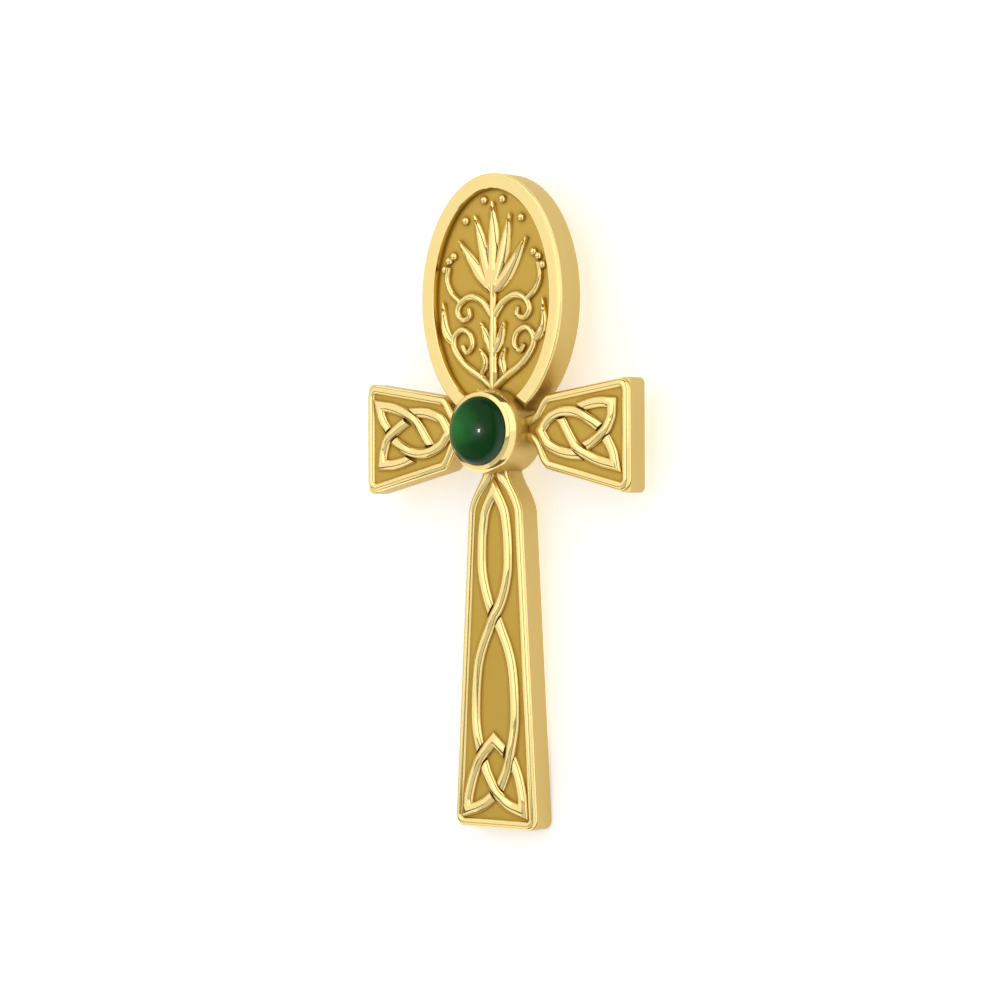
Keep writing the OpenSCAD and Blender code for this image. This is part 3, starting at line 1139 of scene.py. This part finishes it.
@dataclass(frozen=True)
class Studio:
    """Floor, soft lights and the camera.

    Args:
        pose: the pendant's own axes in the frame.
        target: what the camera looks at, in the pendant's millimetres.
        view_turn: how far the camera stands to the right of square-on, in degrees.
        distance: from the camera to the target, in the pendant's millimetres.
        lens: focal length in millimetres.
        roll: turn of the camera about its own axis, in degrees.
        shift: the lens shift across and up.
        floor_size: side of the floor in metres.
        reach: distance of the lights in metres.
    """

    pose: Matrix
    target: Vector
    view_turn: float = 38.0
    distance: float = 235.5
    lens: float = 114.48
    roll: float = -0.186
    shift: Point = (-0.00302, -0.00171)
    floor_size: float = 8.0
    reach: float = 2.0

    def floor(self) -> None:
        """A plain pale floor."""
        bpy.ops.mesh.primitive_plane_add(size=self.floor_size, location=(0, 0, 0))
        floor = bpy.context.object
        floor.name = "floor"
        made, kit = new_material("pale_floor")
        kit.finish(
            {
                "Base Color": (0.9, 0.9, 0.9, 1),
                "Roughness": 0.9,
                "Specular IOR Level": 0.0,
                "Emission Color": (1, 1, 1, 1),
                "Emission Strength": 0.35,
            }
        )
        floor.data.materials.append(made)

    def sky(self) -> None:
        """Soft warm light from all round."""
        world = bpy.data.worlds.new("soft_sky")
        bpy.context.scene.world = world
        world.use_nodes = True
        kit = Kit(world.node_tree)
        glow = kit.node("ShaderNodeBackground", {}, {"Color": (1.0, 0.8, 0.55, 1), "Strength": 0.15})
        kit.node("ShaderNodeOutputWorld", {}, {"Surface": glow.out("Background")})

    def lean(self) -> Matrix:
        """The turn from the pendant's own axes to the frame's."""
        return self.pose.to_quaternion().to_matrix().to_4x4()

    @staticmethod
    def turned(turn: float) -> tuple[Vector, Vector]:
        """Directions to the right and to the back of what faces the pendant from a turn."""
        angle = math.radians(turn)
        right = Vector((math.cos(angle), 0, -math.sin(angle)))
        return right, Vector((math.sin(angle), 0, math.cos(angle)))

    def panel(self, name: str, turn: float, rise: float, size: Point, radiance: float) -> Shape:
        """A softbox that stands upright beside the pendant, in the pendant's own axes.

        Args:
            name: its name.
            turn: how far it stands to the right of straight above the face, in degrees.
            rise: height of its middle towards the loop, in metres.
            size: its width and height in metres.
            radiance: how bright it looks.

        Returns:
            The light.
        """
        data = bpy.data.lights.new(name, "AREA")
        data.shape, data.size, data.size_y = "RECTANGLE", *size
        data.energy = radiance * size[0] * size[1] * math.pi
        light = placed(name, data)
        right, back = self.turned(turn)
        axes = Matrix((right, Vector((0, 1, 0)), back)).transposed().to_4x4()
        place = Matrix.Translation(back * self.reach + Vector((0, rise, 0)))
        light.matrix_world = self.lean() @ place @ axes
        return light

    def lights(self, stone: Shape) -> None:
        """Softboxes all round, in upper and lower halves, and a small lamp for the stone.

        Args:
            stone: the only piece that the small lamp lights.
        """
        for row in (
            ("upper_left_softbox", -53, 2.05, (1.78, 5.0), 0.84),
            ("lower_left_softbox", -53, -2.1, (1.78, 2.6), 0.84),
            ("upper_middle_softbox", -5.5, 2.3, (1.74, 5.0), 1.15),
            ("lower_middle_softbox", -5.5, -2.78, (1.74, 5.0), 0.52),
            ("upper_right_softbox", 57, 2.5, (2.0, 5.0), 1.2),
            ("lower_right_softbox", 57, -2.5, (2.0, 5.0), 0.85),
        ):
            self.panel(*row)
        lamp = self.panel("stone_lamp", -18.6, 0.04, (0.16, 0.16), 190.0)
        lit = bpy.data.collections.new("lit_by_stone_lamp")
        lit.objects.link(stone)
        lamp.light_linking.receiver_collection = lit

    def camera(self) -> None:
        """The camera at the photograph's angle to the face."""
        data = bpy.data.cameras.new("camera")
        data.lens, data.sensor_width, data.sensor_fit = self.lens, 36.0, "HORIZONTAL"
        data.shift_x, data.shift_y = self.shift
        data.clip_start, data.clip_end = 0.01, 20.0
        camera = placed("camera", data)
        right, back = self.turned(self.view_turn)
        spin = Matrix.Rotation(math.radians(self.roll), 3, back)
        right, up = spin @ right, spin @ Vector((0, 1, 0))
        axes = Matrix((right, up, back)).transposed().to_4x4()
        spot = self.pose @ (self.target + back * self.distance)
        camera.matrix_world = Matrix.Translation(spot) @ self.lean() @ axes
        bpy.context.scene.camera = camera


def dress(obj: Shape, part: Part, materials: Sequence[bpy.types.Material]) -> None:
    """Puts a finished shape in the place of its CAD solid.

    Args:
        obj: the shape, already in the frame.
        part: the solid that it stands for.
        materials: its finishes.
    """
    worn = [face.material_index for face in obj.data.polygons]
    obj.data.materials.clear()
    for material in materials:
        obj.data.materials.append(material)
    obj.data.polygons.foreach_set("material_index", worn)
    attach(obj, "root")
    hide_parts(part.value)
    LOG.info("%s: %d faces", obj.name, len(obj.data.polygons))


def smooth(obj: Shape, angle: float) -> None:
    """Smooth shading, kept sharp at edges steeper than an angle in degrees."""
    obj.data.polygons.foreach_set("use_smooth", [True] * len(obj.data.polygons))
    obj.data.set_sharp_from_angle(angle=math.radians(angle))


@dataclass(frozen=True)
class Painter:
    """Gives each face of the body its finish, in the body's own millimetres.

    Args:
        body: the sizes the body was made with.
        exact: least rise of the normal on a sunk flat.
        flat_room: how far a sunk flat may lie from its level.
        upright: greatest rise of the normal on a side.
        top: highest middle of a side or of a root's face.
        root: where the limbs' roots begin and end, from the collar.
        root_y: how far down they reach.
        level: least rise of the normal on a root's flat.
        low_room: how far a root's flat may lie above the edge.
    """

    body: Body
    exact: float = 0.999
    flat_room: float = 0.012
    upright: float = 0.05
    top: float = 3.1
    root: Point = (-0.1, 0.95)
    root_y: float = -1.3
    level: float = 0.93
    low_room: float = 0.08

    def finish(self, face: bpy.types.MeshPolygon) -> Finish:
        """The finish of one face: satin flats, brushed sides and roots, the rest polished; the brushed
        finish's darker base colour paints shade.
        """
        (x, y, z), up = face.center, face.normal.z
        away = math.hypot(x, y) - self.body.collar_r
        root = self.root[0] < away < self.root[1] and y > self.root_y and z < self.top
        sunk = up > self.exact and abs(z - self.body.field_t) < self.flat_room
        if sunk or (root and up > self.level and z < self.body.edge_t + self.low_room):
            return Finish.SATIN
        if (abs(up) < self.upright and z < self.top) or (root and up <= self.level):
            return Finish.BRUSHED_SHADED
        return Finish.POLISHED

    def paint(self, obj: Shape) -> None:
        """Sets the place of each face's finish in the list of materials."""
        for face in obj.data.polygons:
            face.material_index = self.finish(face).value


def main() -> None:
    """Builds the pendant round the frame."""
    logging.basicConfig(level=logging.INFO, format="%(name)s: %(message)s")
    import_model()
    low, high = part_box(Part.BODY.value)
    arm_reach = (high.x - low.x) / 2 / MM
    bail_low, bail_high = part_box(Part.BAIL.value)
    bail_length = (bail_high.x - bail_low.x) / MM
    bail = Bail(radius=1.095, bore=0.75, length=bail_length - 0.01, y=15.44, drop=1.15)
    body = Body(arm_reach=arm_reach - INSET, stem_reach=STEM_REACH - INSET)
    gem = Stone(radius=2.5, foot=3.0, girdle=3.86, dome=1.135)
    rest = RestPose(bail_y=bail.y, bail_drop=bail.drop).matrix()

    cast = body.build()
    Painter(body).paint(cast)
    stone = gem.build()
    tube = bail.build()
    for obj in (cast, stone, tube):
        smooth(obj, SMOOTH_ANGLE)
        obj.data.transform(rest)

    # The second colour of each gold is the painted shade in its crevices.
    polished = Gold("polished_gold", (0.98, 0.79, 0.34, 1), (0.36, 0.19, 0.022, 1), 0.1, 0.0012)
    satin = Gold("satin_gold_field", (0.61, 0.405, 0.081, 1), (0.09, 0.04, 0.002, 1), 0.4, 0.004)
    # The brushed sides' darker base colour is painted shade on the upright walls, on top of their
    # rougher brushed finish.
    sides = Gold("brushed_shaded_gold_sides", (0.64, 0.475, 0.172, 1), (0.5, 0.357, 0.102, 1), 0.45, 0.002)
    dress(cast, Part.BODY, [polished.material(), satin.material(), sides.material()])
    dress(tube, Part.BAIL, [polished.material()])
    middle = rest @ Vector((0, 0, gem.girdle))
    dress(stone, Part.STONE, [GreenStone().material(middle, gem.radius * MM)])

    studio = Studio(pose=rest, target=Vector((0, -4.95, 0.94)))
    bpy.context.scene.view_settings.view_transform = "Standard"
    studio.floor()
    studio.sky()
    studio.lights(stone)
    studio.camera()


if __name__ == "__main__":
    main()
